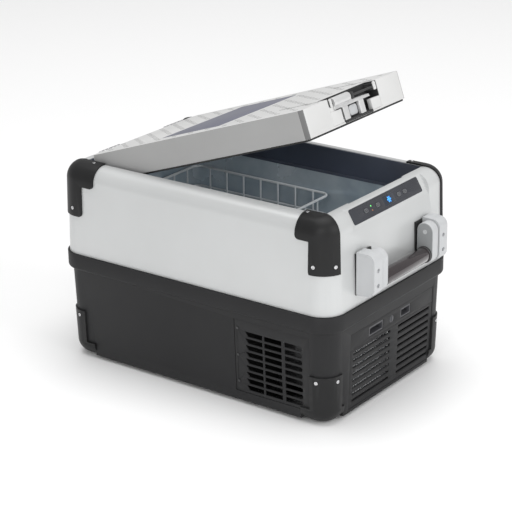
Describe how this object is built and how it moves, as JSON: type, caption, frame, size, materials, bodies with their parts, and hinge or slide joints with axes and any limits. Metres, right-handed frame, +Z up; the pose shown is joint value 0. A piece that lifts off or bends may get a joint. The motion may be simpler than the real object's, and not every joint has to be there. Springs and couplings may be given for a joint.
{
  "type": "compressor cooler fridge",
  "caption": "Portable compressor cooler with a grey case on a dark ribbed-vent housing, end-hinged lid standing open, wire basket and two drop-down carry handles.",
  "frame": {"origin": "centre of the overall box, at the surface the feet stand on", "axes": "+X along the cooler from the lid hinge to the control panel, +Y towards the plain long side, +Z up"},
  "size_m": [0.687, 0.406, 0.5564],
  "materials": {
    "case_paint": "satin light grey",
    "housing_plastic": "fine-grained dark grey",
    "steel": "zinc plated",
    "recess_plastic": "satin blue-black",
    "liner_plastic": "smooth blue-grey",
    "foam": "rigid foam",
    "cold_plate": "rolled",
    "light_lens": "frosted",
    "basket_wire": "white coated wire",
    "lid_plastic": "light grey",
    "rubber_black": "matt",
    "inlay_plate": "dark blue-grey",
    "latch_black": "matt",
    "latch_silver": "silver paint",
    "panel_gloss": "gloss",
    "display_glass": "smoked",
    "button_grey": "satin",
    "led_lens": "clear lens",
    "circuit_board": "solder mask",
    "armour_black": "fine-grained black",
    "screw_steel": "bright",
    "dark_screw": "blackened",
    "bracket_grey": "silver-grey",
    "grip_chrome": "dark chrome",
    "inlet_plastic": "satin",
    "compressor_paint": "black enamel",
    "fan_plastic": "matt"
  },
  "bodies": {
    "cabinet": {"lower_housing": "housing_plastic", "base_plate": "steel", "outer_case": "case_paint", "recess_frame": "recess_plastic", "food_liner": "liner_plastic", "insulation": "foam", "evaporator": "cold_plate", "interior_light": "light_lens", "case_hinge_leaves": "steel", "strike_plate": "steel", "control_panel": "panel_gloss", "display_window": "display_glass", "status_leds": "led_lens", "control_board": "circuit_board", "cap_front_right": "armour_black", "cap_front_left": "armour_black", "cap_rear_right": "armour_black", "cap_rear_left": "armour_black", "foot_front_right": "armour_black", "foot_front_left": "armour_black", "foot_rear_right": "armour_black", "foot_rear_left": "armour_black", "foot_pads": "rubber_black", "cap_screws": "screw_steel", "foot_screws": "screw_steel", "handle_base_plates": "armour_black", "handle_brackets_right": "bracket_grey", "handle_brackets_left": "bracket_grey", "handle_pins_right": "screw_steel", "handle_pins_left": "screw_steel", "side_grille": "housing_plastic", "grille_screws": "dark_screw", "end_louvres": "housing_plastic", "socket_panel": "housing_plastic", "ac_inlet": "inlet_plastic", "dc_inlet": "inlet_plastic", "fuse_cap": "inlet_plastic", "compressor": "compressor_paint", "condenser": "cold_plate", "fan_frame": "fan_plastic"},
    "lid": {"lid_shell": "lid_plastic", "lid_liner": "lid_plastic", "lid_foam": "foam", "lid_seal": "rubber_black", "lid_inlay": "inlay_plate", "lid_hinge_leaves": "steel", "latch_housing": "latch_black", "latch_pin": "steel", "hinge_pins": "steel"},
    "latch": {"latch_handle": "latch_silver"},
    "bail_right": {"handle_arms_right": "bracket_grey", "grip_right": "grip_chrome"},
    "bail_left": {"handle_arms_left": "bracket_grey", "grip_left": "grip_chrome"},
    "power_key": {"button_power": "button_grey"},
    "set_key": {"button_set": "button_grey"},
    "up_key": {"button_up": "button_grey"},
    "down_key": {"button_down": "button_grey"},
    "fan": {"fan_rotor": "fan_plastic"},
    "basket": {"wire_basket": "basket_wire"}
  },
  "joints": [
    {"name": "lid_hinge", "type": "hinge", "parent": "cabinet", "child": "lid", "pos_m": [-0.262, 0, 0.388], "axis": [0, -1, 0], "range_deg": [-19.1, 75.9]},
    {"name": "latch_turn", "type": "hinge", "parent": "lid", "child": "latch", "pos_m": [0.21544, 0, 0.54645], "axis": [0, 1, 0], "range_deg": [0, 20], "stiffness_Nm_per_rad": 0.3},
    {"name": "bail_right_swing", "type": "hinge", "parent": "cabinet", "child": "bail_right", "pos_m": [0.325, 0, 0.2935], "axis": [0, -1, 0], "range_deg": [0, 100]},
    {"name": "bail_left_swing", "type": "hinge", "parent": "cabinet", "child": "bail_left", "pos_m": [-0.325, 0, 0.2935], "axis": [0, 1, 0], "range_deg": [0, 100]},
    {"name": "power_press", "type": "slide", "parent": "cabinet", "child": "power_key", "axis": [-0.8572, 0, -0.515], "range_m": [0, 0.001], "stiffness_N_per_m": 400},
    {"name": "set_press", "type": "slide", "parent": "cabinet", "child": "set_key", "axis": [-0.8572, 0, -0.515], "range_m": [0, 0.001], "stiffness_N_per_m": 400},
    {"name": "up_press", "type": "slide", "parent": "cabinet", "child": "up_key", "axis": [-0.8572, 0, -0.515], "range_m": [0, 0.001], "stiffness_N_per_m": 400},
    {"name": "down_press", "type": "slide", "parent": "cabinet", "child": "down_key", "axis": [-0.8572, 0, -0.515], "range_m": [0, 0.001], "stiffness_N_per_m": 400},
    {"name": "fan_spin", "type": "hinge", "parent": "cabinet", "child": "fan", "pos_m": [0.242, -0.052, 0.078], "axis": [1, 0, 0], "continuous": true},
    {"name": "basket_lift", "type": "slide", "parent": "cabinet", "child": "basket", "axis": [0, 0, 1], "range_m": [0, 0.025]}
  ]
}
